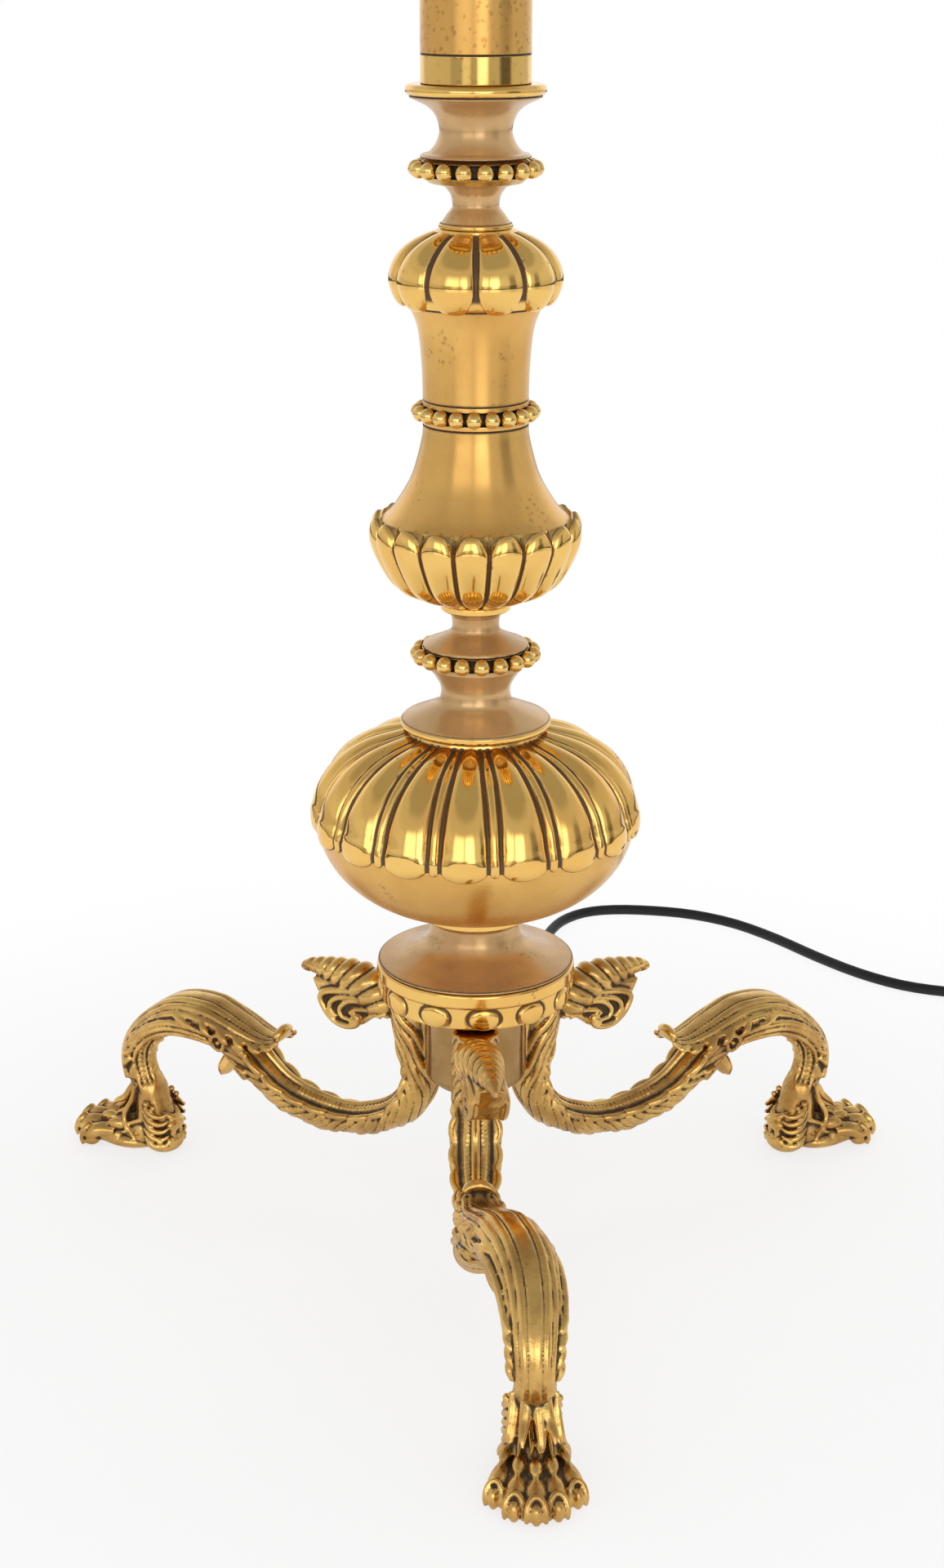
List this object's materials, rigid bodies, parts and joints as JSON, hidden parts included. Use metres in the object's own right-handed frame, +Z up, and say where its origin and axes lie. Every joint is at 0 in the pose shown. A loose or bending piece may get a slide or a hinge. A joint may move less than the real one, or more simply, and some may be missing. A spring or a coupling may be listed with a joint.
{
  "type": "floor lamp",
  "caption": "Floor lamp with a turned brass column over a lobed ball and cup, a tripod of scrolled lion-paw legs and a push-bar lampholder on top.",
  "frame": {"origin": "on the floor, on the axis of the column", "axes": "+Z up along the column, -Y to the front, where the front leg points, +X to the right seen from the front"},
  "size_m": [0.6464, 0.722, 1.3801],
  "materials": {
    "cast_leg_brass": "cast brass, bright on its high places, dark brown patina in its recesses",
    "dark_brass": "turned brass under a dark patina",
    "polished_brass": "polished brass with dark grooves",
    "satin_brass": "satin turned brass with fine rings and small tarnish spots",
    "bead_brass": "cast beads, bright on top, brown-black between them",
    "holder_brass": "polished sheet brass",
    "zinc_steel": "zinc-plated steel",
    "flex_sheath": "satin black sheath of round flex",
    "black_rubber": "soft black rubber",
    "black_plastic": "moulded black plastic",
    "porcelain": "glazed white porcelain"
  },
  "bodies": {
    "stand": {"leg_front": "cast_leg_brass", "leg_left": "cast_leg_brass", "leg_right": "cast_leg_brass", "leg_screws": "zinc_steel", "hub_core": "dark_brass", "hub_cap": "dark_brass", "hub_drum": "polished_brass", "trumpet": "satin_brass", "ball_foot_ring": "polished_brass", "ball_bowl": "satin_brass", "ball_dome": "polished_brass", "ball_spool": "satin_brass", "lower_bead_ring": "bead_brass", "cup_stem": "satin_brass", "cup_foot_ring": "polished_brass", "gadroon_cup": "polished_brass", "lower_sleeve": "satin_brass", "middle_bead_ring": "bead_brass", "upper_sleeve": "satin_brass", "gadroon_cap": "polished_brass", "cap_spool": "satin_brass", "upper_bead_ring": "bead_brass", "waisted_spool": "satin_brass", "column_flange": "polished_brass", "bottom_ferrule": "polished_brass", "column_tube": "satin_brass", "top_ferrule": "polished_brass", "top_flange": "polished_brass", "top_spool": "satin_brass", "drip_dish": "satin_brass", "tie_rod": "zinc_steel", "bottom_washer": "zinc_steel", "bottom_nut": "zinc_steel", "top_washer": "zinc_steel", "top_nut": "zinc_steel", "earth_screw": "zinc_steel", "inner_flex": "flex_sheath", "outlet_bush": "black_rubber", "cord_run": "flex_sheath", "cord_coil": "flex_sheath", "coil_tie": "black_rubber", "plug_body": "black_plastic", "plug_cover": "black_plastic", "plug_pins": "holder_brass", "plug_screw": "zinc_steel", "holder_cap": "holder_brass", "holder_housing": "holder_brass", "holder_skirt": "holder_brass", "holder_insert": "porcelain", "socket_shell": "holder_brass", "socket_contact": "holder_brass", "shade_ring": "holder_brass", "switch_block": "black_plastic", "terminal_screws": "zinc_steel"},
    "push_bar": {"switch_bar": "black_plastic"}
  },
  "joints": [
    {"name": "push_bar_slide", "type": "slide", "parent": "stand", "child": "push_bar", "axis": [1, 0, 0], "range_m": [-0.006, 0]}
  ]
}
